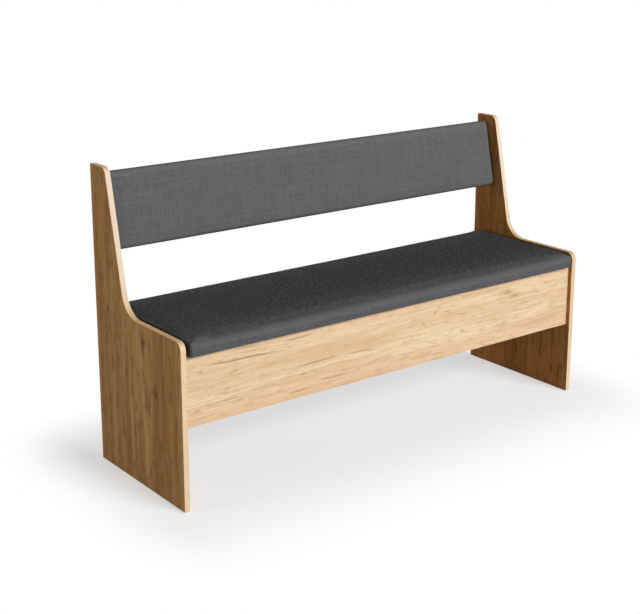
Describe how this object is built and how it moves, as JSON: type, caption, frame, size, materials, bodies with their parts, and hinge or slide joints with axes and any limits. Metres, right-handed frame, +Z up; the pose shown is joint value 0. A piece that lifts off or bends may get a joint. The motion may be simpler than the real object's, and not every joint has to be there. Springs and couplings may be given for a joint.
{
  "type": "dining bench",
  "caption": "Dining bench with stepped wood-decor side panels, a padded leaning backrest and a padded seat that lifts on rear hinges over a storage box.",
  "frame": {"origin": "on the floor, under the middle of the bench's bounding box", "axes": "+X along the bench to the sitter's left as seen from behind, which is the right in the picture; +Y from the front to the rear; +Z up"},
  "size_m": [1.366, 0.4226, 0.8],
  "materials": {
    "oak_decor": "satin melamine oak decor",
    "oak_edge_strip": "satin pale oak edge strip",
    "fibreboard": "bare brown fibreboard",
    "chipboard": "bare chipboard",
    "upholstery_fabric": "anthracite woven fabric",
    "foam": "pale open-cell foam",
    "lining_cloth": "black non-woven cloth",
    "glide_plastic": "moulded brown plastic",
    "cam_alloy": "die-cast alloy",
    "zinc_steel": "zinc-plated steel"
  },
  "bodies": {
    "frame": {"backrest_board": "chipboard", "backrest_bracket_left": "zinc_steel", "backrest_bracket_right": "zinc_steel", "backrest_cover": "upholstery_fabric", "backrest_foam": "foam", "backrest_lining": "lining_cloth", "bottom_panel": "fibreboard", "bracket_screw_left_panel_lower": "zinc_steel", "bracket_screw_left_panel_upper": "zinc_steel", "bracket_screw_left_rear_lower": "zinc_steel", "bracket_screw_left_rear_upper": "zinc_steel", "bracket_screw_right_panel_lower": "zinc_steel", "bracket_screw_right_panel_upper": "zinc_steel", "bracket_screw_right_rear_lower": "zinc_steel", "bracket_screw_right_rear_upper": "zinc_steel", "cam_dowel_front_left_lower": "zinc_steel", "cam_dowel_front_left_upper": "zinc_steel", "cam_dowel_front_right_lower": "zinc_steel", "cam_dowel_front_right_upper": "zinc_steel", "cam_dowel_rear_left_lower": "zinc_steel", "cam_dowel_rear_left_upper": "zinc_steel", "cam_dowel_rear_right_lower": "zinc_steel", "cam_dowel_rear_right_upper": "zinc_steel", "cam_lock_front_left_lower": "cam_alloy", "cam_lock_front_left_upper": "cam_alloy", "cam_lock_front_right_lower": "cam_alloy", "cam_lock_front_right_upper": "cam_alloy", "cam_lock_rear_left_lower": "cam_alloy", "cam_lock_rear_left_upper": "cam_alloy", "cam_lock_rear_right_lower": "cam_alloy", "cam_lock_rear_right_upper": "cam_alloy", "front_board": "oak_decor", "glide_front_left": "glide_plastic", "glide_front_right": "glide_plastic", "glide_rear_left": "glide_plastic", "glide_rear_right": "glide_plastic", "hinge_fixed_leaf_left": "zinc_steel", "hinge_fixed_leaf_right": "zinc_steel", "hinge_pin_left": "zinc_steel", "hinge_pin_right": "zinc_steel", "hinge_screw_left_fixed_left": "zinc_steel", "hinge_screw_left_fixed_right": "zinc_steel", "hinge_screw_right_fixed_left": "zinc_steel", "hinge_screw_right_fixed_right": "zinc_steel", "rear_board": "oak_decor", "side_edge_band_left": "oak_edge_strip", "side_edge_band_right": "oak_edge_strip", "side_panel_left": "oak_decor", "side_panel_right": "oak_decor"},
    "seat_lid": {"hinge_moving_leaf_left": "zinc_steel", "hinge_moving_leaf_right": "zinc_steel", "hinge_screw_left_moving_left": "zinc_steel", "hinge_screw_left_moving_right": "zinc_steel", "hinge_screw_right_moving_left": "zinc_steel", "hinge_screw_right_moving_right": "zinc_steel", "seat_board": "chipboard", "seat_cover": "upholstery_fabric", "seat_foam": "foam", "seat_lining": "lining_cloth"}
  },
  "joints": [
    {"name": "seat_hinge", "type": "hinge", "parent": "frame", "child": "seat_lid", "pos_m": [0, 0.20255, 0.3917], "axis": [-1, 0, 0], "range_deg": [0, 55]}
  ]
}
